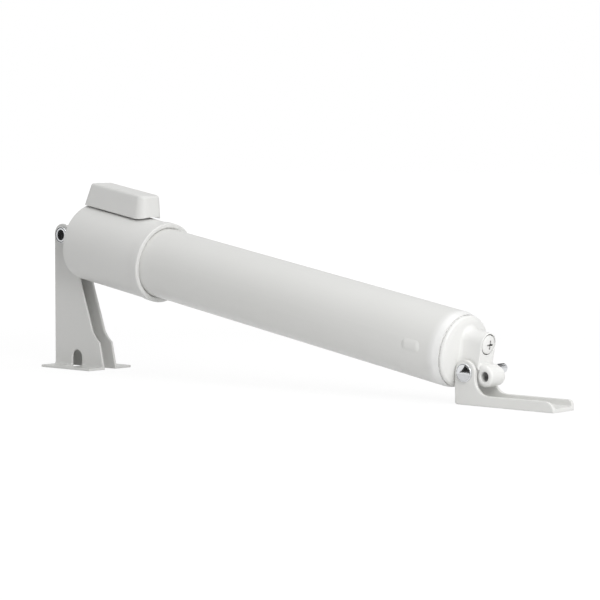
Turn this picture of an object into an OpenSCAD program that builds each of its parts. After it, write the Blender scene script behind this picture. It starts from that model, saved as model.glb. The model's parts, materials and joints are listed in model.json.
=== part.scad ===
// Pneumatic screen door closer, standing on its two brackets.
// Lengths are in millimetres and angles in degrees.
// X runs from the jamb bracket to the door bracket, Y along the two pins, Z up.
// The origin lies under the middle of the closer, on the surface it stands on.
// The barrel leans, so its pieces are drawn in a barrel frame: X there is the
// distance along the rod from the jamb pin, and Z is the height above the rod.

/* [Stance] */
// Height of the jamb pin above the surface
jamb_pin_z = 74.4; // [70:0.1:90]
// Height of the door pin above the surface
door_pin_z = 15.8; // [14:0.1:20]
// Distance from the jamb pin to the door pin, along the barrel
pin_span = 296.7; // [290:0.1:320]
// Drop of the door pin below the line of the rod
door_pin_drop = 8; // [7:0.1:10]

/* [Barrel tube] */
// Outer diameter of the tube
tube_od = 38.1; // [36:0.1:42]
// Wall of the tube
tube_wall = 0.9; // [0.7:0.05:1.3]
// Distance from the jamb pin to the rod end of the tube
tube_start = 55; // [52:0.5:58]
// Distance from the door pin back to the rolled end of the tube
tube_end_back = 10; // [8.6:0.1:12]
// Length of each rolled edge
roll_len = 4.4; // [3:0.1:5]
// How far a rolled edge turns inward
roll_in = 0.8; // [0.7:0.05:1.4]
// Share of each rolled edge that bends before it runs on straight
roll_bend = 0.5; // [0.2:0.05:0.9]
// Length of the locating bead on the side of the tube
bead_len = 11.5; // [8:0.5:16]
// Width of the locating bead
bead_width = 6; // [5:0.5:8]
// Height of the locating bead above the tube
bead_rise = 0.6; // [0.5:0.1:1]
// Distance from the rolled end of the tube to the middle of the bead
bead_back = 17; // [14:0.5:30]
// Height of the bead's middle above the rod line
bead_z = 0; // [-3:0.5:3]

/* [Sleeve] */
// Distance from the jamb pin to the rod end of the sleeve
sleeve_start = 18.5; // [18.5:0.1:20]
// Length of the sleeve
sleeve_len = 60; // [58:0.2:70]
// Wall of the sleeve
sleeve_wall = 2.4; // [1.9:0.05:3]
// Gap between the sleeve and the tube
sleeve_gap = 0.15; // [0.1:0.05:0.4]
// Thickness of the sleeve's end wall
sleeve_end_wall = 2; // [1.5:0.1:3]
// Width of the raised lip at the open end of the sleeve
lip_width = 4.5; // [3:0.1:6]
// Rise of that lip
lip_rise = 0.45; // [0.2:0.05:0.8]
// Width of the chamfer inside the open end of the sleeve
mouth_chamfer = 0.8; // [0.2:0.1:1.2]
// Radius of the lip's outer edge at the open end
mouth_round = 0.7; // [0.5:0.1:1.4]
// Width of the ring inside the sleeve that grips the tube
grip_width = 5; // [3:0.5:8]

/* [Hold-open button] */
// Length of the button at its foot
button_len = 47; // [42:0.5:48]
// Width of the button at its foot
button_width = 17.8; // [15:0.2:20]
// Height of the button above the sleeve's top line
button_height = 12.4; // [9:0.2:14]
// Distance from the rod end of the sleeve to the button
button_inset = 0; // [0:0.1:3]
// Gap left under the button's edge when it is pressed
button_clearance = 0.15; // [0.1:0.05:0.5]
// Travel of the button
button_travel = 1; // [0.6:0.1:1]
// Wall of the button
button_wall = 1.8; // [1.4:0.1:2.4]
// Slope of the button's sides, from foot to top
button_draft = 1.2; // [0.6:0.1:2]
// Slope of the button's two ends, from foot to top
button_end_draft = 2.4; // [1:0.1:4]
// Radius of the edge round the button's top
button_edge_r = 1.6; // [0.8:0.1:2.2]
// Radius of the big corners at the tube end of the button
button_corner = 6; // [3:0.5:8]
// Radius of the small corners at the rod end of the button
button_small_corner = 1.8; // [1:0.1:3]
// Diameter of the stem that presses the latch lever
stem_d = 4; // [3:0.1:5]
// Gap between the stem and the lever when the button is up
stem_rest_gap = 0.25; // [0.2:0.01:0.4]
// Width of the button's two snap legs
leg_width = 5; // [4:0.5:6]

/* [Latch] */
// Distance from the rod end of the sleeve to the latch lever
lever_setback = 12; // [9:0.5:14]
// Thickness of the latch lever
lever_t = 2; // [1.5:0.1:2.5]
// Width of the latch lever
lever_width = 18; // [14:0.5:20]
// Distance of the lever's rounded foot below the rod line
lever_foot = 13; // [12:0.1:14]
// Height of the lever's arm above the rod line
lever_head = 13.6; // [12:0.1:15]
// Length of the lever's arm
arm_len = 13.5; // [12:0.5:15]
// Width of the lever's arm
arm_width = 8; // [6:0.5:10]
// Tilt of the lever when it grips the rod
lever_tilt = 4.4; // [3:0.1:4.6]
// Gap around the rod in the lever's hole
lever_hole_gap = 0.16; // [0.16:0.01:0.3]
// Wire of the lever spring
lever_wire = 1; // [0.8:0.1:1.2]
// Mean diameter of the lever spring
lever_spring_d = 14; // [12:0.5:16]
// Number of curls of the lever spring
lever_spring_curls = 4; // [3:1:5]

/* [Rod and piston] */
// Diameter of the rod
rod_d = 8; // [7:0.1:9]
// Thickness of the flattened rod eye
eye_t = 5.8; // [5:0.1:6]
// Radius of the rod eye
eye_r = 5.4; // [5:0.1:5.8]
// Length of the flattened part beyond the jamb pin
eye_len = 8; // [7:0.5:10]
// Length of the piston
piston_len = 13; // [10:0.5:16]
// Gap between the piston and the tube
piston_gap = 0.25; // [0.15:0.05:0.4]
// Travel of the rod
rod_travel = 110; // [80:1:115]
// Wire of the return spring
spring_wire = 2.2; // [1.8:0.1:2.6]
// Mean diameter of the return spring
spring_d = 25; // [20:0.5:28]
// Number of curls of the return spring
spring_curls = 27; // [22:1:30]
// Size of the piston nut across its flats
nut_flats = 11; // [10:0.5:13]
// Height of the piston nut
nut_height = 4; // [3:0.5:5]
// Thickness of the steel washers on the rod
washer_t = 1.5; // [1:0.1:2]

/* [End cap] */
// Length of the cap's plug inside the tube
plug_len = 14; // [12:0.5:18]
// Gap between a plug and the inside of the tube
plug_gap = 0.1; // [0.05:0.05:0.2]
// Width of the groove between the tube's rolled edge and the cap's rim
cap_groove = 0.5; // [0.4:0.1:1.1]
// Depth of that groove below the rolled edge
cap_groove_depth = 0.8; // [0.4:0.1:1.6]
// Drop of the cap's rim below the rolled edge
rim_drop = 0.3; // [0.2:0.1:1]
// Width of the cap's rim
rim_len = 2.1; // [1.8:0.1:3]
// Radius of the rim's outer edge
rim_round = 1.7; // [1:0.1:1.8]
// Height of the cap's dome
dome_rise = 1.3; // [0.8:0.1:1.4]
// Step between the rim's edge and the dome
dome_step = 1.8; // [1.8:0.1:3]
// Width of the cap's fin
fin_width = 11.4; // [11:0.1:12.2]
// Distance from the door pin to the end face of the fin
fin_reach = 5.7; // [5.2:0.1:7]
// Radius of the flare where the fin meets the dome
fin_flare = 2.5; // [1:0.1:2.6]
// Thickness of the lug that takes the door pin
lug_t = 11; // [9:0.1:12]
// Radius of the lug
lug_r = 4.9; // [4.7:0.1:5.6]
// Distance between the lug's two pin holes
lug_hole_pitch = 9.9; // [9.6:0.1:12]
// Radius of the rounded rim of the lug
lug_round = 1.4; // [0.8:0.1:2]

/* [Adjusting screw] */
// Height of the adjusting screw above the rod line
screw_z = 6.6; // [6.4:0.1:8]
// Diameter of the screw's head
screw_head_d = 9.4; // [8.4:0.1:10]
// Gap around the screw's head
screw_head_gap = 0.4; // [0.2:0.05:0.6]
// Depth of the head's seat in the fin
screw_seat = 2.4; // [1.6:0.1:3]
// Height of the screw head's dome above the fin
screw_dome = 1; // [0.6:0.1:1.4]
// Diameter of the screw's shank
screw_shank_d = 5; // [4.4:0.1:5.6]
// Diameter of the needle at the screw's tip
needle_d = 2; // [1.6:0.1:2.4]
// Width of the cross recess
recess_w = 1; // [0.8:0.1:1.6]
// Length of the cross recess
recess_len = 4.4; // [3:0.1:6.4]
// Depth of the cross recess
recess_depth = 1.5; // [1:0.1:2]

/* [Pins] */
// Diameter of a connecting pin
pin_d = 4.76; // [4.4:0.02:5]
// Length of the jamb pin under its head
jamb_pin_len = 28.6; // [22:0.1:29]
// Length of the door pin under its head
door_pin_len = 31.75; // [24:0.05:32]
// Diameter of a pin's head
pin_head_d = 9.2; // [8:0.1:9.6]
// Thickness of a pin's head
pin_head_t = 1.1; // [0.8:0.1:1.6]
// Depth of the dish in a pin's head
pin_dish = 0.6; // [0.2:0.1:0.7]
// Gap around a pin in its holes
pin_gap = 0.09; // [0.05:0.01:0.1]

/* [Jamb bracket] */
// Width of the jamb bracket's foot
jamb_width = 39.8; // [38:0.2:44]
// Thickness of the jamb bracket's sheet
jamb_sheet_t = 1.4; // [1.2:0.1:1.8]
// Gap between the two plates of the jamb bracket
jamb_gap = 7.8; // [6.8:0.1:8.4]
// How far each foot turns out from its plate
jamb_foot = 10.8; // [8:0.1:14]
// Radius of the jamb bracket's ears
jamb_ear_r = 6.4; // [6:0.1:7]
// Height of the upper corner of the plate's sloping edge
slope_top_z = 44.5; // [40:0.5:46]
// Distance of that corner from the straight edge
slope_top_x = 22.2; // [18:0.2:22.4]
// Height of the shoulder above the foot
shoulder_z = 20.6; // [18:0.2:26]
// Distance of the shoulder from the straight edge
shoulder_x = 30.8; // [28:0.2:33]
// Height of the lower shoulder
shoulder_low_z = 14.8; // [12:0.2:17.5]
// Distance of the lower shoulder from the straight edge
shoulder_low_x = 36.4; // [34:0.2:38]
// Width of the slot in each foot
slot_w = 8.2; // [6:0.1:8.4]
// Height of the slot's arch in the plate
slot_top_z = 10.1; // [8:0.1:14]
// Distance of the slot's middle from the straight edge
slot_x = 18; // [16:0.2:22]
// How far the slot reaches out into the foot
slot_reach = 7; // [5.5:0.1:7.5]
// Height of the top of the back web
web_top_z = 64; // [50:0.5:66]

/* [Door bracket] */
// Length of the door bracket
door_len = 59; // [50:0.5:80]
// Outer width of the door bracket
door_width = 16.7; // [16:0.1:18]
// Height of the door bracket's side walls
door_wall_h = 5.2; // [4.4:0.1:6.5]
// Thickness of the door bracket's sheet
door_sheet_t = 1.9; // [1.5:0.1:2]
// Radius of the door bracket's ears
door_ear_r = 6.15; // [5.8:0.05:6.4]
// Radius of the hollow between ear and wall
ear_fillet_r = 8; // [5:0.5:8.5]
// Radius of the corner at the end of the wall on the pin head's side
head_wall_corner_r = 4.8; // [1:0.1:5]
// Radius of the corner at the end of the other wall
back_wall_corner_r = 2.2; // [1:0.1:5]
// Diameter of the screw holes in the floor
screw_hole_d = 4.8; // [4:0.1:5.6]
// Distance from the door pin to the first screw hole
first_screw_x = 22; // [20:0.5:28]
// Distance between the two screw holes
screw_pitch = 20; // [12:0.5:22]

/* [Hidden] */

$fn = 96;
small_fn = 48;
eps = 0.05;

white_paint = [0.88, 0.88, 0.87];
white_plastic = [0.91, 0.91, 0.90];
steel_grey = [0.68, 0.69, 0.71];
spring_grey = [0.45, 0.46, 0.48];
nylon = [0.82, 0.80, 0.74];
rubber_black = [0.10, 0.10, 0.11];

// Stance of the barrel
pin_chord = sqrt(pin_span * pin_span + door_pin_drop * door_pin_drop);
tilt = asin((jamb_pin_z - door_pin_z) / pin_chord) - atan2(door_pin_drop, pin_span);
pin_run = pin_span * cos(tilt) - door_pin_drop * sin(tilt);
overall_len = jamb_ear_r + pin_run + door_len - door_ear_r;
jamb_edge_x = -overall_len / 2;
jamb_pin_x = jamb_edge_x + jamb_ear_r;
door_pin_x = jamb_pin_x + pin_run;

// Tube
tube_r = tube_od / 2;
tube_in_r = tube_r - tube_wall;
tube_end = pin_span - tube_end_back;
plug_r = tube_in_r - plug_gap;
lip_thin = 0.45 * tube_wall;
roll_out_r = tube_r - roll_in;
roll_in_r = roll_out_r - lip_thin;
bead_height = tube_r + bead_rise - sqrt(tube_r * tube_r - bead_width * bead_width / 4);
bead_r = bead_width * bead_width / 8 / bead_height + bead_height / 2;
bead_end = sqrt(2 * bead_r * bead_rise - bead_rise * bead_rise);
bead_turn = -asin(bead_z / tube_r);

// Sleeve and button
sleeve_in_r = tube_r + sleeve_gap;
sleeve_r = sleeve_in_r + sleeve_wall;
sleeve_end = sleeve_start + sleeve_len;
button_start = sleeve_start + button_inset;
button_cut_r = sleeve_r + button_travel + button_clearance;
button_foot_z = sqrt(button_cut_r * button_cut_r - button_width * button_width / 4);
button_top_z = sleeve_r + button_height;

// Latch
lever_x = sleeve_start + lever_setback;
lever_hole_d = rod_d + 2 * lever_hole_gap;
arm_top_z = lever_head;
stem_x = lever_x + arm_len - 1.5;
stem_foot_z = arm_top_z + stem_rest_gap;
window_len = 13;
window_width = leg_width + 2;
leg_t = 1.6;
leg_hook = 0.8;
hook_h = 1.2;
hook_gap = 0.15;
hook_top_z = sqrt(sleeve_in_r * sleeve_in_r - leg_width * leg_width / 4) - hook_gap;
guide_nose_len = 3;
guide_face = tube_start - guide_nose_len;
guide_nose_r = roll_in_r - plug_gap;
guide_len = 13;
guide_inner = tube_start + guide_len;
bush_gap = 0.05;
bush_wall = 1.5;
bush_r = rod_d / 2 + bush_gap + bush_wall;
notch_gap = 0.3;
notch_h = 2.5;
tongue_side = 2;
tongue_end = 1.5;
grip_left = (lever_hole_d * cos(lever_tilt) - lever_t * sin(lever_tilt) - rod_d) / 2
    - lever_foot * (1 - cos(lever_tilt)) / 2;
arm_drop = (arm_len - 2.3) * tan(lever_tilt) - (lever_foot + lever_head) * (1 / cos(lever_tilt) - 1);

// Piston end of the rod, worked back from the end cap
cap_inner = tube_end - plug_len;
rod_end = cap_inner - 1;
nut_start = rod_end - nut_height - 1;
cup_washer_start = nut_start - washer_t;
piston_start = cup_washer_start - piston_len;
spring_washer_start = piston_start - washer_t;
bumper_t = 3;
bumper_r = (spring_d - spring_wire) / 2 * cos(180 / 8) - 0.3;
spring_start = guide_inner + bush_gap;
spring_len = spring_washer_start - spring_start;
cup_len = 4;
cup_start = piston_start + piston_len - cup_len - 2;
cup_floor_r = tube_in_r - 3;
nut_r = nut_flats / 2 / cos(30);
solid_len = spring_curls * spring_wire;

// End cap
collar_r = roll_in_r - plug_gap;
rim_start = tube_end + cap_groove;
rim_r = roll_out_r - rim_drop;
dome_r = rim_r - dome_step;
dome_start = rim_start + rim_len;
fin_end = pin_span + fin_reach;
fin_top_r = fin_width / 2;
lug_z = -door_pin_drop;
pin_hole_d = pin_d + 2 * pin_gap;
seal_wire = 2;
seal_x = cap_inner + 4;
screw_seal_r = 0.55;
screw_groove_w = 1.6;
screw_groove_x = fin_end - screw_seat - 2 * screw_groove_w;
needle_taper = 2.6;
screw_face = fin_end - screw_seat;
needle_seat_x = tube_end - 3;
pocket_depth = 7;
pocket_r = screw_z + needle_d;

// Door bracket
door_back_x = -door_ear_r;
jamb_out_y = jamb_gap / 2 + jamb_sheet_t;
bend_r = 1.2;

// Helper shapes
module on_barrel() {
    translate([jamb_pin_x, 0, jamb_pin_z]) rotate([0, tilt, 0]) children();
}

// A round bar along X, from start, with its radius
module bar(start, len, r, fn = $fn) {
    translate([start, 0, 0]) rotate([0, 90, 0]) cylinder(h = len, r = r, $fn = fn);
}

// A round bar along Y, centred
module cross_bar(len, r, fn = small_fn) {
    rotate([90, 0, 0]) cylinder(h = len, r = r, center = true, $fn = fn);
}

// A turned piece, from points of radius and distance along X
module turned(points, fn = $fn) {
    rotate([0, 90, 0]) rotate_extrude($fn = fn) polygon(points);
}

// A plain ring along X
module ring(start, len, r_out, r_in) {
    turned([[r_in, start], [r_out, start], [r_out, start + len], [r_in, start + len]]);
}

// Points of a rolled edge: it starts at radius r and distance x and turns in by drop
function roll_points(r, x, drop, dir) =
    [for (t = [0:0.125:1]) [r - drop * roll_curve(t), x + dir * roll_len * t]];

// Share of the drop reached at share t of the length: a bend, then a straight slope
function roll_curve(t) =
    (t < roll_bend ? t * t / 2 / roll_bend : t - roll_bend / 2) / (1 - roll_bend / 2);

function reversed(list) = [for (i = [len(list) - 1:-1:0]) list[i]];

// Points of a coil's centre line along X
function coil_point(a, d, x, pitch) = [x + pitch * a / 360, d / 2 * cos(a), d / 2 * sin(a)];

// One unbroken tube of six sides along a coil, with its two ends closed
module coil(x, coil_len, d, wire, curls) {
    rings = 8 * curls;
    sides = 6;
    pitch = (coil_len - wire) / curls;
    r = wire / 2;
    points = [for (i = [0:rings]) let (a = i * 360 / 8, c = coil_point(a, d, x + r, pitch))
        for (j = [0:sides - 1]) let (b = j * 360 / sides, out = d / 2 + r * cos(b))
            [c[0] + r * sin(b), out * cos(a), out * sin(a)]];
    walls = [for (i = [0:rings - 1]) for (j = [0:sides - 1])
        let (k = (j + 1) % sides, p = i * sides, q = p + sides)
            each [[p + j, q + j, p + k], [p + k, q + j, q + k]]];
    first_end = [for (j = [1:sides - 2]) [0, j, j + 1]];
    last = rings * sides;
    last_end = [for (j = [1:sides - 2]) [last, last + j + 1, last + j]];
    polyhedron(points = points, faces = concat(walls, first_end, last_end));
}

// Least gap between neighbouring curls, measured on points of two curls
function coil_gap(coil_len, d, wire, curls) =
    let (pitch = (coil_len - wire) / curls,
        base = coil_point(0, d, 0, pitch))
    min([for (a = [180:5:540]) if (a > 270) norm(coil_point(a, d, 0, pitch) - base)]) - wire;

echo(return_spring_gap = coil_gap(spring_len, spring_d, spring_wire, spring_curls));
echo(lever_spring_gap = coil_gap(guide_face - lever_x - lever_t / 2 - 0.2, lever_spring_d,
    lever_wire, lever_spring_curls));
echo(gap_round_rod_when_gripping = grip_left, arm_drop = arm_drop,
    stem_needs = button_travel - stem_rest_gap);
echo(tilt = tilt, jamb_pin = [jamb_pin_x, jamb_pin_z], door_pin = [door_pin_x, door_pin_z],
    overall_len = overall_len, spring_room = spring_len - rod_travel - solid_len);

// Steel tube with both edges rolled inward over its plugs, and one pressed bead
module tube() {
    outer = concat(reversed(roll_points(tube_r, tube_start + roll_len, roll_in, -1)),
        roll_points(tube_r, tube_end - roll_len, roll_in, 1));
    inner_drop = roll_in + lip_thin - tube_wall;
    inner = concat(reversed(roll_points(tube_in_r, tube_start + roll_len, inner_drop, -1)),
        roll_points(tube_in_r, tube_end - roll_len, inner_drop, 1));
    color(white_paint) on_barrel() {
        turned(concat(outer, reversed(inner)));
        intersection() {
            translate([tube_end - bead_back, 0, 0]) rotate([bead_turn, 0, 0]) bead_form();
            ring(tube_end - bead_back - bead_len, 2 * bead_len, tube_r + 2 * bead_rise,
                tube_r - tube_wall / 2);
        }
    }
}

// Round-ended bar whose crown stands out of the tube as the bead
module bead_form() {
    straight = bead_len - 2 * bead_end;
    translate([0, bead_r - tube_r - bead_rise, 0]) {
        bar(-straight / 2, straight, bead_r);
        for (side = [-1, 1]) translate([side * straight / 2, 0, 0]) sphere(r = bead_r);
    }
}

// Moulded cap: plug with seal groove, outer groove, rim, dome, fin and pin lug
module end_cap() {
    groove_r = tube_in_r - seal_wire - 0.05;
    rim_edge = 0.25;
    passage_x = cap_inner + pocket_depth - 1;
    groove_floor_r = roll_out_r - cap_groove_depth - lip_thin;
    neck = [for (p = roll_points(plug_r, tube_end - roll_len, plug_r - collar_r, 1)) p];
    rim_arc = [for (a = [0:15:90]) [rim_r - rim_round * (1 - cos(a)),
        dome_start - rim_round * (1 - sin(a))]];
    dome = [for (a = [0:10:90]) [dome_r * cos(a), dome_start + dome_rise * sin(a)]];
    body = concat([[0, cap_inner], [plug_r - 0.6, cap_inner], [plug_r, cap_inner + 0.6],
            [plug_r, seal_x - seal_wire / 2 - 0.1], [groove_r, seal_x - seal_wire / 2 - 0.1],
            [groove_r, seal_x + seal_wire / 2 + 0.1], [plug_r, seal_x + seal_wire / 2 + 0.1]],
        neck, [[groove_floor_r, tube_end], [groove_floor_r, rim_start], [rim_r - rim_edge, rim_start],
            [rim_r, rim_start + rim_edge]], rim_arc, dome);
    color(white_plastic) on_barrel() difference() {
        union() {
            turned(body);
            fin();
            lug();
        }
        bar(cap_inner - eps, pocket_depth + eps, pocket_r);
        translate([0, 0, screw_z]) {
            bar(screw_face, screw_seat + 1, screw_head_d / 2 + screw_head_gap);
            bar(needle_seat_x, fin_end - needle_seat_x, screw_shank_d / 2 + 0.05, small_fn);
            bar(passage_x, needle_seat_x + 1 - passage_x, needle_d / 2 + 0.2, small_fn);
        }
        for (hole = [0, 1])
            translate([pin_span + hole * lug_hole_pitch, 0, lug_z])
                cross_bar(lug_t + 2, pin_hole_d / 2);
    }
}

// Fin around the adjusting screw: round top, flat sides, flared where it meets the dome
module fin() {
    foot_z = lug_z + lug_r / 2;
    base = tube_end - 1;
    flare_x = dome_start + 0.5 + fin_flare;
    flare = [for (a = [0:15:90]) [fin_top_r + fin_flare * (1 - cos(a)),
        flare_x - fin_flare * sin(a)]];
    half = concat([[0, base], [fin_top_r + fin_flare, base]], reversed(flare),
        [[fin_top_r, fin_end], [0, fin_end]]);
    translate([0, 0, screw_z]) turned(half);
    for (side = [0, 1])
        mirror([0, side, 0]) translate([0, 0, foot_z]) linear_extrude(screw_z - foot_z)
            polygon([for (p = half) [p[1], p[0] - (p[0] == 0 ? eps : 0)]]);
}

// Lug with two pin holes, its rims rounded
module lug() {
    reach = pin_span + lug_hole_pitch;
    straight = lug_t - 2 * lug_round;
    start = tube_end - 1;
    translate([reach, 0, lug_z]) rotate([90, 0, 0]) rotate_extrude() lug_profile();
    translate([start, 0, lug_z]) rotate([0, 90, 0]) linear_extrude(reach - start)
        intersection() {
            union() {
                rotate(90) lug_profile();
                rotate(90) mirror([1, 0]) lug_profile();
            }
            square([4 * lug_r, lug_t], center = true);
        }
    translate([start, -straight / 2, lug_z])
        cube([reach - start - 1, straight, lug_r]);
}

// Half section of the lug, from its middle line outward
module lug_profile() {
    arc = [for (a = [0:15:90]) [lug_r - lug_round + lug_round * cos(a),
        lug_t / 2 - lug_round + lug_round * sin(a)]];
    polygon(concat([[0, -lug_t / 2]],
        [for (i = [len(arc) - 1:-1:0]) [arc[i][0], -arc[i][1]]], arc, [[0, lug_t / 2]]));
}

// Rubber ring that seals the cap in the tube
module cap_seal() {
    color(rubber_black) on_barrel()
        seal_ring(seal_x, tube_in_r - seal_wire / 2 - 0.02, seal_wire / 2);
}

module seal_ring(x, r, wire_r) {
    translate([x, 0, 0]) rotate([0, 90, 0]) rotate_extrude()
        translate([r, 0]) circle(r = wire_r, $fn = 24);
}

// Moulded guide at the rod end of the tube, with the notch that carries the lever
module rod_guide() {
    tongue_len = guide_face - lever_x + lever_t + tongue_end;
    half = lever_width / 2 + tongue_side;
    neck = reversed(roll_points(plug_r, tube_start + roll_len, plug_r - guide_nose_r, -1));
    body = concat([[bush_r, guide_face], [guide_nose_r, guide_face]], neck,
        [[plug_r, guide_inner], [bush_r, guide_inner]]);
    color(nylon) on_barrel() difference() {
        union() {
            turned(body);
            intersection() {
                translate([guide_face - tongue_len, -half, -guide_nose_r])
                    cube([tongue_len + 1, 2 * half, guide_nose_r - lever_foot + notch_h]);
                bar(guide_face - tongue_len, tongue_len + 1, guide_nose_r);
            }
        }
        translate([lever_x - lever_t / 2 - notch_gap, -lever_width / 2 - notch_gap,
                -lever_foot - lever_t / 2 - notch_gap])
            cube([lever_t + 2 * notch_gap, lever_width + 2 * notch_gap, 2 * lever_foot]);
    }
}

// Bronze bush that the rod runs in
module guide_bush() {
    color([0.71, 0.58, 0.36]) on_barrel()
        ring(guide_face, guide_len + guide_nose_len, bush_r, rod_d / 2 + bush_gap);
}

// Moulded sleeve over the rod end of the tube
module sleeve() {
    round = 0.8;
    lip_r = sleeve_r + lip_rise;
    rod_hole_r = rod_d / 2 + 1;
    edge = [for (a = [0:30:90]) [sleeve_r - round + round * sin(a),
        sleeve_start + round - round * cos(a)]];
    grip_x = tube_start + roll_len + 2;
    inside = [[sleeve_in_r + mouth_chamfer, sleeve_end],
        [sleeve_in_r, sleeve_end - mouth_chamfer], [sleeve_in_r, grip_x + grip_width],
        [tube_r + 0.05, grip_x + grip_width], [tube_r + 0.05, grip_x],
        [sleeve_in_r, grip_x], [sleeve_in_r, sleeve_start + sleeve_end_wall],
        [rod_hole_r, sleeve_start + sleeve_end_wall]];
    outside = concat([[rod_hole_r, sleeve_start]], edge,
        [[sleeve_r, sleeve_end - lip_width - lip_rise], [lip_r, sleeve_end - lip_width],
            for (a = [0:15:90]) [lip_r - mouth_round + mouth_round * cos(a),
                sleeve_end - mouth_round + mouth_round * sin(a)]]);
    stop_len = lever_x - lever_t / 2 - eps - sleeve_start - sleeve_end_wall;
    color(white_plastic) on_barrel() difference() {
        union() {
            turned(concat(outside, inside));
            ring(sleeve_start + sleeve_end_wall - eps, stop_len + eps, rod_hole_r + 2.5,
                rod_hole_r);
        }
        translate([stem_x - window_len / 2, -window_width / 2, lever_head + 1])
            cube([window_len, window_width, sleeve_r]);
    }
}

// Outline of the button, shrunk by in, with big corners at the tube end
module button_slice(z, side_in, end_in, thick) {
    x0 = button_start + end_in;
    x1 = button_start + button_len - end_in;
    half = button_width / 2 - side_in;
    big = max(button_corner - side_in, 1);
    small = max(button_small_corner - side_in / 2, 0.6);
    translate([0, 0, z]) linear_extrude(thick) hull() {
        for (side = [-1, 1]) {
            translate([x0 + small, side * (half - small)]) circle(r = small, $fn = 32);
            translate([x1 - big, side * (half - big)]) circle(r = big, $fn = 32);
        }
    }
}

// Solid form of the button, smaller by a wall where it is hollow
module button_form(wall, foot_z, top_z) {
    hull() {
        button_slice(foot_z, wall, wall, eps / 5);
        for (a = [0:18:90]) {
            in = wall + button_edge_r * (1 - cos(a));
            button_slice(top_z - eps / 5 - button_edge_r * (1 - sin(a)), button_draft + in,
                button_end_draft + in, eps / 5);
        }
    }
}

// Hollow button with its stem and two snap legs
module hold_open_button() {
    root_z = button_top_z - 1;
    tip_h = 1.2;
    color(white_plastic) on_barrel() {
        difference() {
            button_form(0, button_foot_z, button_top_z);
            button_form(button_wall, button_foot_z - 1, button_top_z - button_wall);
            bar(button_start - button_inset - 1, button_len + button_inset + 2, button_cut_r);
        }
        translate([stem_x, 0, stem_foot_z]) {
            cylinder(h = tip_h, r1 = stem_d / 5, r2 = stem_d / 2, $fn = small_fn);
            translate([0, 0, tip_h])
                cylinder(h = root_z - stem_foot_z - tip_h, r = stem_d / 2, $fn = small_fn);
        }
        for (side = [-1, 1]) {
            leg_x = stem_x + side * (window_len / 2 - 0.4 - leg_t / 2) - leg_t / 2;
            translate([leg_x, -leg_width / 2, hook_top_z - hook_h])
                cube([leg_t, leg_width, root_z - hook_top_z + hook_h]);
            translate([leg_x + side * leg_hook, -leg_width / 2, hook_top_z - hook_h])
                cube([leg_t, leg_width, hook_h]);
        }
    }
}

// Steel lever around the rod, with its arm under the button
module latch_lever() {
    color(steel_grey) on_barrel() difference() {
        union() {
            translate([lever_x, 0, -lever_foot]) cross_bar(lever_width, lever_t / 2);
            translate([lever_x - lever_t / 2, -lever_width / 2, -lever_foot])
                cube([lever_t, lever_width, lever_foot + lever_head - 2 * lever_t]);
            translate([lever_x - lever_t / 2, -arm_width / 2, 0])
                cube([lever_t, arm_width, lever_head]);
            translate([lever_x - lever_t / 2, -arm_width / 2, lever_head - lever_t])
                cube([arm_len + lever_t / 2, arm_width, lever_t]);
        }
        bar(lever_x - lever_t, 2 * lever_t, lever_hole_d / 2);
    }
}

// Light coil spring that sets the lever upright
module lever_spring() {
    start = lever_x + lever_t / 2 + 0.1;
    color(spring_grey) on_barrel()
        coil(start, guide_face - start - 0.1, lever_spring_d, lever_wire, lever_spring_curls);
}

// Adjusting screw: domed head with a cross recess, shank and needle tip
module adjusting_screw() {
    head_r = screw_head_d / 2;
    shank_r = screw_shank_d / 2 - eps;
    neck_r = shank_r - 2 * screw_seal_r;
    top = fin_end + screw_dome;
    dome = [for (a = [0:15:90]) [head_r * cos(a), fin_end - 0.4 + (screw_dome + 0.4) * sin(a)]];
    tip = needle_seat_x + 0.3;
    color(white_plastic) on_barrel() translate([0, 0, screw_z]) difference() {
        turned(concat([[0, tip - needle_taper], [needle_d / 4, tip - needle_taper], [needle_d / 2, tip],
            [shank_r, tip], [shank_r, screw_groove_x], [neck_r, screw_groove_x],
            [neck_r, screw_groove_x + screw_groove_w], [shank_r, screw_groove_x + screw_groove_w],
            [shank_r, screw_face + eps], [head_r, screw_face + eps]], dome),
            small_fn);
        translate([top - recess_depth, -recess_len / 2, -recess_w / 2])
            cube([recess_depth + 1, recess_len, recess_w]);
        translate([top - recess_depth, -recess_w / 2, -recess_len / 2])
            cube([recess_depth + 1, recess_w, recess_len]);
    }
}

// Rubber ring on the adjusting screw
module screw_seal() {
    color(rubber_black) on_barrel() translate([0, 0, screw_z])
        seal_ring(screw_groove_x + screw_groove_w / 2, screw_shank_d / 2 - screw_seal_r,
            screw_seal_r);
}

// Piston rod with a flattened eye for the jamb pin
module piston_rod() {
    thread_r = rod_d / 2 - 0.8;
    shoulder = spring_washer_start;
    color(steel_grey) on_barrel() difference() {
        union() {
            turned([[0, eye_len], [rod_d / 2 - 0.6, eye_len], [rod_d / 2, eye_len + 1.5],
                [rod_d / 2, shoulder], [thread_r, shoulder], [thread_r, rod_end - 0.6],
                [thread_r - 0.6, rod_end], [0, rod_end]], small_fn);
            cross_bar(eye_t, eye_r);
            translate([0, -eye_t / 2, -rod_d / 2]) cube([eye_len + 1, eye_t, rod_d]);
        }
        cross_bar(eye_t + 2, pin_hole_d / 2);
    }
}

// Steel washer that the return spring pushes on
module spring_washer() {
    color(steel_grey) on_barrel()
        ring(spring_washer_start, washer_t, spring_d / 2 + spring_wire, rod_d / 2 - 0.75);
}

// Moulded piston with a groove for its cup
module piston() {
    r = tube_in_r - piston_gap;
    bore = rod_d / 2 - 0.75;
    color(nylon) on_barrel() turned([[bore, piston_start], [r, piston_start], [r, cup_start],
        [cup_floor_r, cup_start], [cup_floor_r, cup_start + cup_len],
        [r, cup_start + cup_len], [r, piston_start + piston_len],
        [bore, piston_start + piston_len]]);
}

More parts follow.
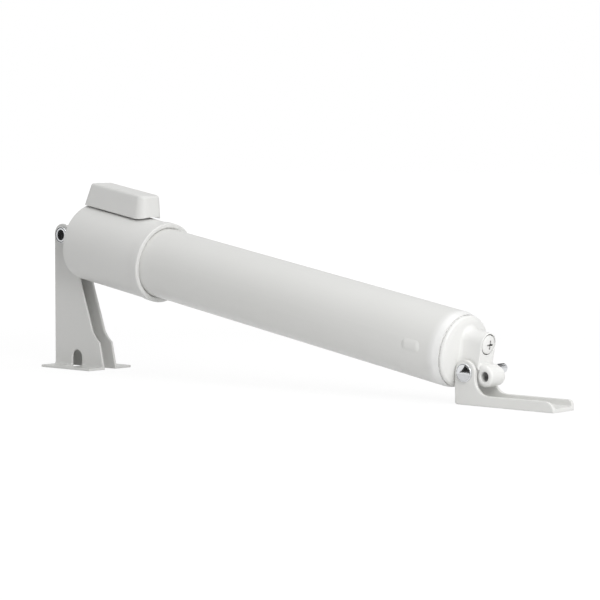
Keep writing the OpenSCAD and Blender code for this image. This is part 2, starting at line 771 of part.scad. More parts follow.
// Rubber cup that seals when the door closes and lets air pass when it opens
module piston_cup() {
    lip_r = tube_in_r - 0.02;
    color(rubber_black) on_barrel() turned([[cup_floor_r, cup_start + 0.2],
        [lip_r - 1, cup_start + 0.2], [lip_r, cup_start + cup_len - 0.4],
        [lip_r - 0.8, cup_start + cup_len - 0.2], [cup_floor_r + 0.9, cup_start + 1.6],
        [cup_floor_r + 0.4, cup_start + cup_len - 0.2], [cup_floor_r, cup_start + cup_len - 0.2]]);
}

// Steel washer behind the piston
module cup_washer() {
    color(steel_grey) on_barrel()
        ring(cup_washer_start, washer_t, nut_r + 3, rod_d / 2 - 0.75);
}

// Nut that holds the piston on the rod
module piston_nut() {
    color(steel_grey) on_barrel() difference() {
        bar(nut_start, nut_height, nut_r, 6);
        bar(nut_start - 1, nut_height + 2, rod_d / 2 - 0.78, small_fn);
    }
}

// Rubber ring that stops the spring ringing against the guide
module guide_bumper() {
    color(rubber_black) on_barrel()
        ring(guide_inner, bumper_t, bumper_r, bush_r);
}

// Compression spring that draws the rod into the tube
module return_spring() {
    color(spring_grey) on_barrel()
        coil(spring_start, spring_len, spring_d, spring_wire, spring_curls);
}

// Side outline of a jamb bracket plate, from its straight edge
module jamb_outline() {
    ear_x = jamb_ear_r;
    run = slope_top_x - ear_x;
    fall = jamb_pin_z - slope_top_z;
    reach = sqrt(run * run + fall * fall);
    touch = atan2(-fall, run) + acos(jamb_ear_r / reach);
    arc = [for (a = [180:-10:touch]) [ear_x + jamb_ear_r * cos(a),
        jamb_pin_z + jamb_ear_r * sin(a)]];
    polygon(concat([[0, 0]], arc,
        [[ear_x + jamb_ear_r * cos(touch), jamb_pin_z + jamb_ear_r * sin(touch)],
            [slope_top_x, slope_top_z], [shoulder_x, shoulder_z],
            [(shoulder_x + shoulder_low_x) / 2 - 0.3, (shoulder_z + shoulder_low_z) / 2 - 0.3],
            [shoulder_low_x, shoulder_low_z], [jamb_width, 0]]));
}

// One plate of the jamb bracket with its out-turned foot, on the -Y side
module jamb_side() {
    difference() {
        union() {
            translate([0, -jamb_gap / 2, 0]) rotate([90, 0, 0])
                linear_extrude(jamb_sheet_t) jamb_outline();
            translate([0, -jamb_out_y - jamb_foot, 0])
                cube([jamb_width, jamb_foot + jamb_sheet_t, jamb_sheet_t]);
            translate([0, -jamb_out_y - bend_r, 0]) difference() {
                cube([jamb_width, bend_r + jamb_sheet_t / 2, jamb_sheet_t + bend_r]);
                translate([-1, 0, jamb_sheet_t + bend_r]) rotate([0, 90, 0])
                    cylinder(h = jamb_width + 2, r = bend_r, $fn = small_fn);
            }
        }
        translate([jamb_ear_r, 0, jamb_pin_z]) cross_bar(4 * jamb_out_y, pin_hole_d / 2);
        translate([slot_x, 0, slot_top_z - slot_w / 2]) cross_bar(4 * jamb_out_y, slot_w / 2);
        translate([slot_x - slot_w / 2, -jamb_out_y - slot_reach + slot_w / 2, -1])
            cube([slot_w, slot_reach + jamb_out_y - slot_w / 2, slot_top_z - slot_w / 2 + 1]);
        translate([slot_x, -jamb_out_y - slot_reach + slot_w / 2, -1])
            cylinder(h = jamb_sheet_t + 2, r = slot_w / 2, $fn = small_fn);
    }
}

// Folded steel jamb bracket: two plates, two feet and the web between them
module jamb_bracket() {
    color(white_paint) translate([jamb_edge_x, 0, 0]) {
        jamb_side();
        mirror([0, 1, 0]) jamb_side();
        translate([0, -jamb_gap / 2 - eps, 0])
            cube([jamb_sheet_t, jamb_gap + 2 * eps, web_top_z]);
    }
}

// Side outline of the door bracket, from the door pin, with the corner at the wall's end
module door_outline(corner_r) {
    hollow_x = door_ear_r + ear_fillet_r;
    hollow_z = door_wall_h + ear_fillet_r;
    end_x = door_len - door_ear_r;
    ear = [for (a = [180:-10:0]) [door_ear_r * cos(a), door_pin_z + door_ear_r * sin(a)]];
    hollow = [for (a = [180:10:270]) [hollow_x + ear_fillet_r * cos(a),
        hollow_z + ear_fillet_r * sin(a)]];
    corner = [for (a = [90:-15:0]) [end_x - corner_r + corner_r * cos(a),
        door_wall_h - corner_r + corner_r * sin(a)]];
    heel = [for (a = [270:-15:180]) [door_back_x + 1.5 + 1.5 * cos(a), 1.5 + 1.5 * sin(a)]];
    polygon(concat(ear, hollow, corner, [[end_x, 0]], heel));
}

// Folded steel door bracket: floor, two walls and two ears
module door_bracket() {
    end_x = door_len - door_ear_r;
    color(white_paint) translate([door_pin_x, 0, 0]) difference() {
        union() {
            for (wall = [[-door_width / 2 + door_sheet_t, head_wall_corner_r],
                    [door_width / 2, back_wall_corner_r]])
                translate([0, wall[0], 0]) rotate([90, 0, 0])
                    linear_extrude(door_sheet_t) door_outline(wall[1]);
            translate([door_back_x + 1.5, -door_width / 2 + eps, 0])
                cube([end_x - door_back_x - 1.5, door_width - 2 * eps, door_sheet_t]);
        }
        translate([0, 0, door_pin_z]) cross_bar(2 * door_width, pin_hole_d / 2);
        for (hole = [0, 1])
            translate([first_screw_x + hole * screw_pitch, 0, -1])
                cylinder(h = door_sheet_t + 2, r = screw_hole_d / 2, $fn = small_fn);
    }
}

// Connecting pin along Y, its dished head on the -Y side of face_y
module connecting_pin(face_y, len) {
    head_r = pin_head_d / 2;
    dish_r = head_r - 0.5;
    r = pin_d / 2;
    dish = [for (k = [0:6]) [dish_r * k / 6, pin_dish * (1 - k * k / 36) - pin_head_t]];
    color(steel_grey) translate([0, face_y, 0]) rotate([-90, 0, 0]) rotate_extrude()
        polygon(concat(dish, [[head_r - 0.3, -pin_head_t], [head_r, 0.3 - pin_head_t],
            [head_r, -eps], [r, -eps], [r, len - 1], [r - 0.8, len], [0, len]]));
}

module jamb_pin() {
    translate([jamb_pin_x, 0, jamb_pin_z]) connecting_pin(-jamb_out_y, jamb_pin_len);
}

module door_pin() {
    translate([door_pin_x, 0, door_pin_z]) connecting_pin(-door_width / 2, door_pin_len);
}

tube();
end_cap();
cap_seal();
rod_guide();
guide_bush();
sleeve();
hold_open_button();
latch_lever();
lever_spring();
adjusting_screw();
screw_seal();
piston_rod();
spring_washer();
piston();
piston_cup();
cup_washer();
piston_nut();
guide_bumper();
return_spring();
jamb_bracket();
jamb_pin();
door_bracket();
door_pin();
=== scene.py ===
# %% [markdown]
# # A pneumatic screen door closer in its studio
# The closer stands on its two folded brackets: a tall one for the door frame on
# the left, and a low channel for the door on the right. Between them leans a
# painted steel tube with a moulded sleeve, a hold-open button and an end cap.
# The measured model is loaded as a frame. This script dresses it: it finds the
# camera, gives every piece its real finish, softens edges, turns the two
# connecting pins anew and lights the set.

# %% Load the frame
import json
import math

import bpy
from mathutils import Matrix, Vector


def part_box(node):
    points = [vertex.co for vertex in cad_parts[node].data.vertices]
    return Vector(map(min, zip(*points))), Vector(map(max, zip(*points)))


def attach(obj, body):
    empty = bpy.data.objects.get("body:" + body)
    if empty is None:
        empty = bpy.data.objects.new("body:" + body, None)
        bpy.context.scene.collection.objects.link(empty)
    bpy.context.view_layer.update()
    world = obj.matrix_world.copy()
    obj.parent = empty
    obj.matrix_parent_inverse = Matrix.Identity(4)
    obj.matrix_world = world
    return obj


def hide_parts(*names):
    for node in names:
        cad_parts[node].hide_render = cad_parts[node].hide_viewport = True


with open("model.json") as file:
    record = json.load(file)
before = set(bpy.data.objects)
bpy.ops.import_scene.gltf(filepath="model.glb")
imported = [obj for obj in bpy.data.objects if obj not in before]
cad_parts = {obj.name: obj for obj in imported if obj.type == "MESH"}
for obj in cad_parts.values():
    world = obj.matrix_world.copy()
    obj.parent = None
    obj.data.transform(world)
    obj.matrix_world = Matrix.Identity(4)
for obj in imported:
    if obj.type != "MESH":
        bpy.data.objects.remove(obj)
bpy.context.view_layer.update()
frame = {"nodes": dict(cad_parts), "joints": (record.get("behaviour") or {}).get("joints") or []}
bpy.ops.object.select_all(action="DESELECT")
MM = 0.001

# %% [markdown]
# ## The lean of the barrel and the two pins
# The barrel leans, so it helps to have its direction as a vector. It could be
# typed in, but the frame knows it: the rod slides along the barrel. In the same
# way the two hinges say where the connecting pins are.

# %% Direction of the barrel and places of the pins
joints = {joint["name"]: joint for joint in frame["joints"]}
ALONG = -Vector(joints["rod_slide"]["axis"]).normalized()
LEAN = math.asin(-ALONG.z)
JAMB_PIN = Vector(joints["jamb_hinge"]["pos_m"])
DOOR_PIN = Vector(joints["door_hinge"]["pos_m"])
print("lean", round(math.degrees(LEAN), 2), "degrees")

# %% [markdown]
# ## The camera
# The photograph was taken from the front right, almost level with the closer
# and from well over a metre away, so its lines hardly run together. A long lens
# at that distance gives the same mild perspective.

# %% Camera
IMAGE_PX, FOCUS_PX, SENSOR_MM = 600, 2374.0, 36.0
VIEW_AZIMUTH, VIEW_ELEVATION, VIEW_DISTANCE_M = 42.1, 3.88, 1.2283
AIM = Vector((0.00749, 0.0, 0.04532))
NEAREST_M, FURTHEST_M = 0.05, 50

turn, rise = math.radians(VIEW_AZIMUTH), math.radians(VIEW_ELEVATION)
towards_camera = Vector((math.sin(turn) * math.cos(rise), -math.cos(turn) * math.cos(rise),
                         math.sin(rise)))
camera = bpy.data.objects.new("camera", bpy.data.cameras.new("camera"))
bpy.context.scene.collection.objects.link(camera)
camera.data.sensor_fit = "HORIZONTAL"
camera.data.sensor_width = SENSOR_MM
camera.data.lens = SENSOR_MM * FOCUS_PX / IMAGE_PX
camera.data.clip_start, camera.data.clip_end = NEAREST_M, FURTHEST_M
camera.location = AIM + towards_camera * VIEW_DISTANCE_M
camera.rotation_euler = (-towards_camera).to_track_quat("-Z", "Y").to_euler()
bpy.context.scene.camera = camera
print("lens", round(camera.data.lens, 1), "mm")

# %% [markdown]
# ## Colours and nodes
# Colours are given as screen values, but the renderer counts light, so
# one function turns a hex value into linear light. A second function adds any
# node to a material with its settings and its links.


# %% Colours and nodes
def linear(hex_colour):
    """A screen colour such as "e8e8e6" as linear light, with full opacity."""
    channels = [int(hex_colour[i:i + 2], 16) / 255 for i in (0, 2, 4)]
    return [c / 12.92 if c <= 0.04045 else ((c + 0.055) / 1.055) ** 2.4 for c in channels] + [1.0]


def add(tree, kind, links=(), **settings):
    """Adds a node; settings go to its properties or inputs, links join sockets to its inputs."""
    made = tree.nodes.new(kind)
    for name, value in settings.items():
        if hasattr(made, name):
            setattr(made, name, value)
        else:
            made.inputs[name.replace("_", " ")].default_value = value
    for name, socket in links:
        tree.links.new(socket, made.inputs[name])
    return made


print("the paint's screen value of 0.90 is", round(linear("e6e6e3")[0], 2), "as light")

# %% [markdown]
# ## A finish and its unevenness
# No real surface is the same all over. It has a faint relief, and its gloss and
# its colour wander, each in patches of their own size. A picture of the surface
# could carry that, but noise does it without one and at any size. So every
# finish below starts from the same functions and gives its sizes in
# millimetres.

# %% Finishes
COAT_ROUGHNESS = 0.12
NOISE_LOW, NOISE_HIGH = 0.2, 0.8


def finish(name, hex_colour, roughness, metallic=0.0, coat=0.0, ior=1.5, specular=0.5):
    """A new material, its node tree, its shader and the object's own coordinates."""
    made = bpy.data.materials.new(name)
    made.use_nodes = True
    tree = made.node_tree
    shader = tree.nodes["Principled BSDF"]
    shader.inputs["Base Color"].default_value = linear(hex_colour)
    shader.inputs["Roughness"].default_value = roughness
    shader.inputs["Metallic"].default_value = metallic
    shader.inputs["Coat Weight"].default_value = coat
    shader.inputs["Specular IOR Level"].default_value = specular
    shader.inputs["Coat Roughness"].default_value = COAT_ROUGHNESS
    if not metallic:
        shader.inputs["IOR"].default_value = ior
    place = add(tree, "ShaderNodeTexCoord").outputs["Object"]
    return made, tree, shader, place


def recoloured(tree, shader, amount, hex_colour, from_hex=None):
    """Blends a colour, or else the one that is there, towards another by an amount from 0 to 1."""
    blend = add(tree, "ShaderNodeMix", data_type="RGBA")
    first, second = [socket for socket in blend.inputs if socket.type == "RGBA"]
    result, = [socket for socket in blend.outputs if socket.type == "RGBA"]
    base = shader.inputs["Base Color"]
    if from_hex:
        first.default_value = linear(from_hex)
    else:
        tree.links.new(base.links[0].from_socket, first)
    second.default_value = linear(hex_colour)
    tree.links.new(amount, blend.inputs[0])
    tree.links.new(result, base)


def uneven(tree, shader, place, relief=None, gloss=None, colours=None):
    """Patches of noise, given by their size in mm and their detail, and then by a height
    in mm for relief, two values of roughness for gloss, or two hex values for colours."""
    noise = {}
    for layer, given in (("relief", relief), ("gloss", gloss), ("colours", colours)):
        if given:
            noise[layer] = add(tree, "ShaderNodeTexNoise", [("Vector", place)],
                               Scale=1 / (given[0] * MM), Detail=given[1]).outputs["Fac"]
    if relief:
        bump = add(tree, "ShaderNodeBump", [("Height", noise["relief"])], Strength=1.0,
                   Distance=relief[2] * MM)
        tree.links.new(bump.outputs["Normal"], shader.inputs["Normal"])
    if gloss:
        spread = add(tree, "ShaderNodeMapRange", [("Value", noise["gloss"])],
                     interpolation_type="SMOOTHSTEP", From_Min=NOISE_LOW, From_Max=NOISE_HIGH,
                     To_Min=gloss[2], To_Max=gloss[3])
        tree.links.new(spread.outputs["Result"], shader.inputs["Roughness"])
    if colours:
        recoloured(tree, shader, noise["colours"], colours[3], from_hex=colours[2])


print("noise is spread from", NOISE_LOW, "to", NOISE_HIGH)

# %% [markdown]
# ## White powder coat
# The tube and both brackets are steel under a white powder coat. The powder
# melts in an oven and never flows quite flat: the eye sees a soft gloss with a
# faint orange peel, about two millimetres from hill to hill, on a colour that
# is a slightly warm off-white. The tube's end is rolled in over the cap, and
# its last eight millimetres are painted lighter: a painted highlight where the
# light from the right falls on the rolled end.

# %% Powder coat
# Where the painted highlight on the tube's rolled end starts and where it is full, in mm along the
# barrel from the jamb pin.
LIT_BAND_START_MM, LIT_BAND_FULL_MM = 279.0, 284.5


def powder_coated(name):
    """Powder coat under a name of its own, with its tree, shader and coordinates."""
    made, tree, shader, place = finish(name, "e6e6e3", 0.32, coat=0.25)
    uneven(tree, shader, place, relief=(2.2, 3.0, 0.012), gloss=(14, 2.0, 0.28, 0.38),
           colours=(60, 2.0, "e4e4e1", "e8e8e6"))
    return made, tree, shader, place


powder_coat = powder_coated("powder_coat_white")[0]
tube_coat, tree, shader, place = powder_coated("powder_coat_white_tube_painted_highlight")
from_pin = add(tree, "ShaderNodeVectorMath", [(0, place)], operation="SUBTRACT")
from_pin.inputs[1].default_value = JAMB_PIN
run = add(tree, "ShaderNodeVectorMath", [(0, from_pin.outputs["Vector"])],
          operation="DOT_PRODUCT")
run.inputs[1].default_value = ALONG
painted_highlight = add(tree, "ShaderNodeMapRange", [("Value", run.outputs["Value"])],
             interpolation_type="SMOOTHSTEP", From_Min=LIT_BAND_START_MM * MM,
             From_Max=LIT_BAND_FULL_MM * MM)
# Painted highlight: the tube's last millimetres are painted lighter, where light from the right
# falls on the rolled end.
recoloured(tree, shader, painted_highlight.outputs["Result"], "f3f3f2")
print("made", powder_coat.name, tube_coat.name)

# %% [markdown]
# ## Moulded plastics
# The sleeve and the button look like ABS: white, a touch cooler than the paint,
# with the fine texture of a spark-eroded mould. The real grit is under a tenth
# of a millimetre, too fine to show here, so it is drawn at half a millimetre.
# The end cap and its screw are whiter and slicker, as acetal is, and their
# mould was smoother: the grit is drawn wider there and no higher. The rod guide
# and the piston inside are natural nylon, without colour added: creamy and
# dull.
#
# The cap's narrow grooves and bores, and the thin gaps between it and its
# neighbours, are darkened with painted shade. A dark piece could lie in each of
# them, but the surface can tell by itself how much of its surroundings is
# covered, so the shade is painted into the cap's own colour.

# %% Plastics
COVERED, OPEN = 0.1, 0.4
# The colour of the painted shade in the cap's recesses.
PAINTED_SHADE_COLOUR = "2c2b29"


def painted_recess_shade(tree, shader, reach_mm, alone):
    """Painted shade: darkens what lies deep in the piece alone, or between it and its neighbours.
    """
    nearby = add(tree, "ShaderNodeAmbientOcclusion", only_local=alone, Distance=reach_mm * MM)
    shade_share = add(tree, "ShaderNodeMapRange", [("Value", nearby.outputs["AO"])],
                From_Min=COVERED, From_Max=OPEN, To_Min=1.0, To_Max=0.0)
    recoloured(tree, shader, shade_share.outputs["Result"], PAINTED_SHADE_COLOUR)


abs_white, tree, shader, place = finish("abs_white_moulded", "e7e7e5", 0.36, ior=1.54,
                                        specular=0.3)
uneven(tree, shader, place, relief=(0.5, 2.0, 0.004), gloss=(9, 2.0, 0.33, 0.42),
       colours=(45, 2.0, "e5e5e3", "e9e9e7"))

acetal_white, tree, shader, place = finish("acetal_white_cap", "efefed", 0.33, ior=1.48)
uneven(tree, shader, place, relief=(0.6, 2.0, 0.004), gloss=(8, 2.0, 0.29, 0.38),
       colours=(30, 2.0, "ededeb", "f1f1ef"))
# Painted shade in the cap's deep grooves and bores, then in the thin gaps to its neighbours.
painted_recess_shade(tree, shader, 6.0, alone=True)
painted_recess_shade(tree, shader, 1.2, alone=False)

nylon_natural, tree, shader, place = finish("nylon_natural", "d8d2c2", 0.45, ior=1.53)
uneven(tree, shader, place, relief=(0.7, 2.0, 0.006), colours=(12, 2.0, "d3cdbc", "dcd7c9"))
print("made", abs_white.name, acetal_white.name, nylon_natural.name)

# %% [markdown]
# ## Zinc-plated steel
# The lever, the nut and the washers are zinc plated: a cool grey metal with
# soft cloudy patches of a few millimetres. The two connecting pins are plated
# bright, almost mirrors, with patches that hardly show. The crystals of the
# plating are far too fine to see, so its relief is drawn at 0.5 to 0.8 mm.

# %% Plated metals
zinc_plate, tree, shader, place = finish("zinc_plated_steel", "a9abae", 0.3, metallic=1.0)
uneven(tree, shader, place, relief=(0.8, 2.0, 0.004), gloss=(2.5, 4.0, 0.28, 0.42),
       colours=(2.5, 4.0, "9a9ca0", "b8babd"))

bright_zinc, tree, shader, place = finish("bright_zinc_pin", "e6e8ea", 0.08, metallic=1.0)
uneven(tree, shader, place, relief=(0.5, 2.0, 0.001), gloss=(1.6, 3.0, 0.05, 0.12),
       colours=(1.6, 3.0, "e0e2e4", "eaebed"))
print("made", zinc_plate.name, bright_zinc.name)

# %% [markdown]
# ## Rod, spring and bush
# The rod is ground while it turns, so its finish runs in fine rings round it.
# Noise makes rings when its coordinates are squeezed in both directions across
# the closer. They are squeezed before they are turned, so the rings stand
# upright, ten degrees off square to the leaning rod, which hardly shows. The
# real scratches are hundredths of a millimetre wide and are drawn at 0.4 mm.
# Spring wire is drawn through a die and left darker and duller. The bush is
# sintered bronze, pressed from powder: its pores are drawn at 0.35 mm, several
# times their real size.

# %% Bare metals
ACROSS_ROD = 0.03
ground_rod, tree, shader, place = finish("ground_steel_rod", "b4b6b9", 0.2, metallic=1.0)
ringed = add(tree, "ShaderNodeMapping", [("Vector", place)], Rotation=(0, LEAN, 0),
             Scale=(1, ACROSS_ROD, ACROSS_ROD))
uneven(tree, shader, ringed.outputs["Vector"], relief=(0.4, 2.0, 0.002),
       gloss=(0.4, 2.0, 0.14, 0.26))

spring_wire, tree, shader, place = finish("drawn_spring_wire", "6d6f72", 0.35, metallic=1.0)
uneven(tree, shader, place, relief=(0.5, 2.0, 0.004), gloss=(1.5, 3.0, 0.28, 0.45))

bronze, tree, shader, place = finish("sintered_bronze", "a98650", 0.5, metallic=1.0)
uneven(tree, shader, place, relief=(0.35, 3.0, 0.02), gloss=(0.35, 3.0, 0.42, 0.62))
print("made", ground_rod.name, spring_wire.name, bronze.name)

# %% [markdown]
# ## Rubber
# The seals, the cup and the bumper are moulded nitrile rubber: nearly black and
# dull, with a bloom of dust in patches of a few millimetres.

# %% Rubber
nitrile, tree, shader, place = finish("nitrile_rubber", "1b1b1c", 0.6, ior=1.52)
uneven(tree, shader, place, relief=(0.6, 2.0, 0.01), gloss=(3.0, 3.0, 0.52, 0.7),
       colours=(3.0, 3.0, "171718", "222223"))
print("made", nitrile.name)

# %% [markdown]
# ## Which piece has which finish
# Each solid of the frame keeps its shape and gets its real finish. The frame's
# plain materials could be edited instead, but several pieces share one there,
# so each piece's slots are given a new one.

# %% Give out the finishes
wears = {
    powder_coat: ["jamb_bracket", "door_bracket"],
    tube_coat: ["tube"],
    abs_white: ["sleeve", "hold_open_button"],
    acetal_white: ["end_cap", "adjusting_screw"],
    nylon_natural: ["rod_guide", "piston"],
    zinc_plate: ["jamb_pin", "door_pin", "latch_lever", "spring_washer", "cup_washer",
                 "piston_nut"],
    ground_rod: ["piston_rod"],
    spring_wire: ["return_spring", "lever_spring"],
    bronze: ["guide_bush"],
    nitrile: ["cap_seal", "screw_seal", "piston_cup", "guide_bumper"],
}
for material, names in wears.items():
    for name in names:
        node = frame["nodes"][name]
        if not node.material_slots:
            node.data.materials.append(material)
        for material_slot in node.material_slots:
            material_slot.material = material
print("dressed", sum(len(names) for names in wears.values()), "of", len(frame["nodes"]), "nodes")

# %% [markdown]
# ## Soft edges on mouldings and painted sheet
# A moulding has a radius in every corner, and paint rounds every edge of a
# sheet. A bevel would need clean edges, which a measured solid of many facets
# hasn't got. So a voxel remesh builds an even skin over the solid, and a few
# smoothing passes round what is sharp and leave what is flat. Both stay
# modifiers, so the solid below keeps its measured shape.

# %% Soften edges
WELD_REACH_MM = 0.01
EASE_FACTOR = 0.5


def soften(name, voxel_mm, passes):
    """Rounds the edges of a piece by about its voxel size."""
    node = frame["nodes"][name]
    weld = node.modifiers.new("join_faces", "WELD")
    weld.merge_threshold = WELD_REACH_MM * MM
    skin = node.modifiers.new("even_skin", "REMESH")
    skin.mode = "VOXEL"
    skin.voxel_size = voxel_mm * MM
    skin.use_smooth_shade = True
    ease = node.modifiers.new("ease_edges", "SMOOTH")
    ease.factor, ease.iterations = EASE_FACTOR, passes
    shown = node.evaluated_get(bpy.context.evaluated_depsgraph_get()).to_mesh()
    print("softened", name, len(shown.polygons), "faces")


for name, voxel_mm, passes in (("end_cap", 0.25, 5), ("jamb_bracket", 0.4, 3),
                               ("door_bracket", 0.3, 4), ("hold_open_button", 0.3, 4)):
    soften(name, voxel_mm, passes)

# %% [markdown]
# ## The two connecting pins
# Each bracket is joined by a headed pin of plated steel. The head is a thin disc
# with a shallow dish pressed into it, and the dish is what catches the eye: it
# mirrors the room upside down. Spinning a profile would do, but a turned part
# can also start as one disc at the tail. Its only face is extruded and resized
# again and again, so the rings follow the profile, with close rings where it
# curves.

# %% Turn a pin
PIN_RADIUS, TIP_ROUND = 2.38, 0.9
HEAD_RADIUS, HEAD_THICK, RIM_ROUND = 4.6, 1.1, 0.3
DISH_DEPTH, DISH_RADIUS, DISH_RINGS = 0.6, 4.1, 12
PIN_SIDES, SMOOTH_BELOW = 64, math.radians(38)
TIP_TURNS, RIM_TURNS = (0.4, 0.8, 1.2, 1.57), (1.57, 1.0, 0.5, 0.0)


def pin_rings(length):
    """A pin's profile, tail first: distance from under the head and radius, in mm."""
    tip = PIN_RADIUS - TIP_ROUND
    tail = [(length, tip)]
    for turned in TIP_TURNS:
        tail.append((length - TIP_ROUND * (1 - math.cos(turned)),
                     tip + TIP_ROUND * math.sin(turned)))
    # A small fillet in the corner under the head, then the head's lower edge.
    under_head = [(0.25, PIN_RADIUS), (0.0, PIN_RADIUS + 0.12), (-0.05, PIN_RADIUS + 0.3),
                  (-0.05, HEAD_RADIUS - 0.12), (-0.14, HEAD_RADIUS)]
    rim = [(RIM_ROUND * (1 - math.cos(turned)) - HEAD_THICK,
            HEAD_RADIUS - RIM_ROUND + RIM_ROUND * math.sin(turned)) for turned in RIM_TURNS]
    dish = [(DISH_DEPTH * (1 - (k / DISH_RINGS) ** 2) - HEAD_THICK, DISH_RADIUS * k / DISH_RINGS)
            for k in range(DISH_RINGS, 0, -1)]
    return tail + under_head + rim + dish


def turned_pin(name, replaced, centre, face_y, length):
    """A pin along Y round a centre, with the underside of its head at face_y."""
    rings = pin_rings(length)
    bpy.ops.object.select_all(action="DESELECT")
    bpy.ops.mesh.primitive_circle_add(vertices=PIN_SIDES, radius=rings[0][1] * MM, fill_type="NGON",
                                      location=(centre.x, face_y + rings[0][0] * MM, centre.z),
                                      rotation=(math.radians(90), 0, 0))
    pin = bpy.context.active_object
    pin.name = name
    bpy.ops.object.transform_apply(location=True, rotation=True, scale=True)
    bpy.ops.object.mode_set(mode="EDIT")
    bpy.ops.mesh.select_mode(type="FACE")
    for (before, old_radius), (now, radius) in zip(rings, rings[1:]):
        step = (0, (now - before) * MM, 0)
        bpy.ops.mesh.extrude_region_move(TRANSFORM_OT_translate={"value": step})
        size = radius / old_radius
        bpy.ops.transform.resize(value=(size, 1, size), center_override=(centre.x, 0, centre.z))
    bpy.ops.mesh.select_all(action="SELECT")
    bpy.ops.mesh.normals_make_consistent(inside=False)
    bpy.ops.object.mode_set(mode="OBJECT")
    bpy.ops.object.shade_smooth_by_angle(angle=SMOOTH_BELOW)
    pin.data.materials.append(bright_zinc)
    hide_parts(replaced)
    print("turned", name, "with", len(rings), "rings")
    return pin


# %% The pin of each bracket
JAMB_PIN_LENGTH, DOOR_PIN_LENGTH = 28.6, 31.75
jamb_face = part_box("jamb_pin")[1].y - JAMB_PIN_LENGTH * MM
door_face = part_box("door_pin")[1].y - DOOR_PIN_LENGTH * MM
jamb_link = turned_pin("jamb_link_pin", "jamb_pin", JAMB_PIN, jamb_face, JAMB_PIN_LENGTH)
door_link = turned_pin("door_link_pin", "door_pin", DOOR_PIN, door_face, DOOR_PIN_LENGTH)
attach(jamb_link, "jamb_link_pin")
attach(door_link, "door_link_pin")

# %% [markdown]
# ## The studio floor
# The closer stands on a floor that fades to pure white. The camera sees it
# mostly as a plain glow, with a faint share of the real floor near the closer,
# so that a soft shadow stays. Mirrors see part of the glow too. All other light
# meets the pale paint alone, so the glow adds nothing to it.

# %% Floor
FLOOR_WIDTH_M, BELOW_FEET_M = 12.0, 0.0002
GLOW_STRENGTH, GLOW_MIRRORED = 1.06, 0.6
FADE_START_M, FADE_END_M, GLOW_NEAR = 0.35, 0.9, 0.86
bpy.ops.mesh.primitive_plane_add(size=FLOOR_WIDTH_M, location=(0, 0, -BELOW_FEET_M))
floor = bpy.context.active_object
floor.name = "studio_floor"
floor_paint, tree, shader, place = finish("studio_floor_paint", "f2f2f2", 0.9, specular=0.0)
light_path = add(tree, "ShaderNodeLightPath")
glow = add(tree, "ShaderNodeEmission", Strength=GLOW_STRENGTH, Color=linear("ffffff"))
reach = add(tree, "ShaderNodeVectorMath", [(0, place)], operation="LENGTH")
faded = add(tree, "ShaderNodeMapRange", [("Value", reach.outputs["Value"])],
            From_Min=FADE_START_M, From_Max=FADE_END_M, To_Min=GLOW_NEAR, To_Max=1.0)
mirrored = add(tree, "ShaderNodeMapRange", [("Value", light_path.outputs["Is Glossy Ray"])],
               To_Max=GLOW_MIRRORED)
watched = add(tree, "ShaderNodeMath", [(0, light_path.outputs["Is Camera Ray"]),
                                       (1, mirrored.outputs["Result"])], operation="MAXIMUM")
seen = add(tree, "ShaderNodeMath", [(0, watched.outputs[0]), (1, faded.outputs["Result"])],
           operation="MULTIPLY")
mixed = add(tree, "ShaderNodeMixShader", [("Fac", seen.outputs[0]), (1, shader.outputs[0]),
                                          (2, glow.outputs[0])])
tree.links.new(mixed.outputs[0], tree.nodes["Material Output"].inputs["Surface"])
floor.data.materials.append(floor_paint)
print("floor", FLOOR_WIDTH_M, "m wide")

# %% [markdown]
# ## The lamps
# One big soft lamp hangs over the right end and a smaller one shines in from
# the right. A third, smaller still, stands near the camera and fills the front.


# %% Lamps
def soft_lamp(name, place, aim, size, power):
    """A square lamp at a place, turned to its aim, with its width in metres and power in watts."""
    lamp = bpy.data.objects.new(name, bpy.data.lights.new(name, "AREA"))
    lamp.data.shape = "SQUARE"
    lamp.data.size = size
    lamp.data.energy = power
    lamp.location = place
    lamp.rotation_euler = (Vector(aim) - Vector(place)).to_track_quat("-Z", "Y").to_euler()
    bpy.context.scene.collection.objects.link(lamp)
    print("lamp", name, power, "W")


soft_lamp("top_lamp", (0.35, 0.1, 1.5), (0, 0, 0.05), 1.4, 10.5)
soft_lamp("right_lamp", (1.5, -0.5, 0.6), (0.03, 0, 0.05), 0.9, 5.3)
soft_lamp("near_lamp", (0.75, -0.45, 0.5), (0.03, 0, 0.05), 0.4, 2.7)

# %% [markdown]
# ## Dark cards for the pins
# The pins are little mirrors. In a room that is white all round they would show
# nothing, so a dark card stands near each of them, where only mirrors see it.
# To find a card's corners, the sight line is followed from the camera to chosen
# spots on the metal and on from there, as a mirror sends it.


# %% Spots on the pins
def dish_spots(pin, face_y, places_mm):
    """Spots and normals in the dish of a pin's head, from mm across and up."""
    bend = 2 * DISH_DEPTH / DISH_RADIUS ** 2
    return [(Vector((pin.x + across * MM, face_y - HEAD_THICK * MM, pin.z + up * MM)),
             Vector((-bend * across, -1, -bend * up)).normalized()) for across, up in places_mm]


def shank_spots(pin, places):
    """Spots and normals on a pin's shank, from degrees round it and mm along it."""
    spots = []
    for degrees, along_mm in places:
        normal = Vector((math.cos(math.radians(degrees)), 0, math.sin(math.radians(degrees))))
        spots.append((Vector((pin.x, along_mm * MM, pin.z)) + PIN_RADIUS * MM * normal, normal))
    return spots


# %% Dark cards
CARD_NEAR_M, CARD_FAR_M = 0.03, 0.06
card_black, tree, shader, place = finish("card_black", "0c0c0c", 0.9)


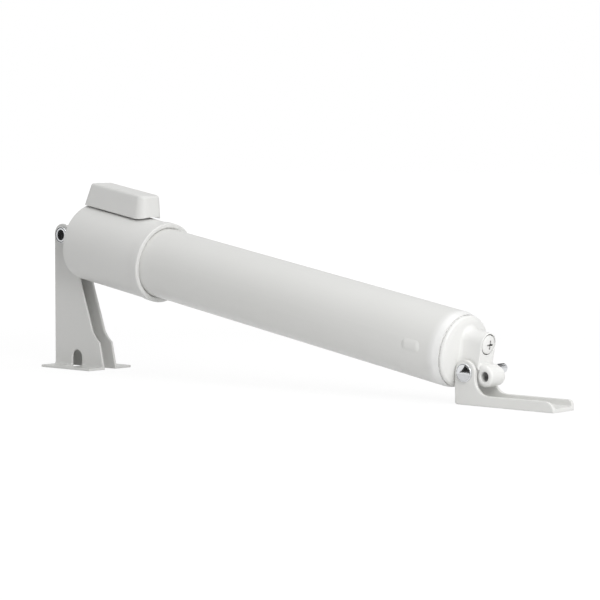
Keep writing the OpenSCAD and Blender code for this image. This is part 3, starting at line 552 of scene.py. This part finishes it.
def dark_card(name, distance, spots):
    """A card whose corners show at these spots, this far from them."""
    corners = [spot + distance * (spot - camera.location).normalized().reflect(normal)
               for spot, normal in spots]
    bpy.ops.object.select_all(action="DESELECT")
    bpy.ops.mesh.primitive_circle_add(vertices=len(corners), radius=1, fill_type="NGON")
    card = bpy.context.active_object
    card.name = name
    for vertex, corner in zip(card.data.vertices, corners):
        vertex.co = corner
    card.data.materials.append(card_black)
    for ray in ("camera", "diffuse", "shadow", "transmission", "volume_scatter"):
        setattr(card, "visible_" + ray, False)
    print("card", name, "lowest at", round(min(corner.z for corner in corners), 4), "m")


dark_card("door_pin_card", CARD_NEAR_M,
          dish_spots(DOOR_PIN, door_face, [(0.9, 3.8), (-2.8, -0.1), (4.7, -0.3)]))
dark_card("jamb_pin_card", CARD_FAR_M, dish_spots(JAMB_PIN, jamb_face, [
    (2.8 * math.cos(math.radians(a)) - 0.3, 3.1 * math.sin(math.radians(a)))
    for a in range(0, 360, 15)]))
dark_card("door_pin_tip_card", CARD_NEAR_M,
          shank_spots(DOOR_PIN, [(98, 15), (60, 17), (20, 23.5), (60, 24), (98, 24)]))

# %% [markdown]
# ## The white room
# The room is plain white for the camera. Mirrors see it somewhat darker, and it
# gives the closer less than a third of that light, so that the lamps can shape
# it.

# %% Room
ROOM_LIGHT, ROOM_MIRRORED, ROOM_SEEN = 0.295, 0.75, 1.0
room = bpy.data.worlds.new("white_room")
bpy.context.scene.world = room
room.use_nodes = True
tree = room.node_tree
backdrop = tree.nodes["Background"]
light_path = add(tree, "ShaderNodeLightPath")
shown = add(tree, "ShaderNodeMath", [(0, light_path.outputs["Is Camera Ray"]),
                                     (1, light_path.outputs["Is Transmission Ray"])],
            operation="MAXIMUM")
given = add(tree, "ShaderNodeMapRange", [("Value", light_path.outputs["Is Glossy Ray"])],
            To_Min=ROOM_LIGHT, To_Max=ROOM_MIRRORED)
level = add(tree, "ShaderNodeMapRange", [("Value", shown.outputs[0]),
                                         ("To Min", given.outputs["Result"])], To_Max=ROOM_SEEN)
backdrop.inputs["Color"].default_value = linear("ffffff")
tree.links.new(level.outputs["Result"], backdrop.inputs["Strength"])
bpy.context.scene.view_settings.view_transform = "Standard"
print("room ready")
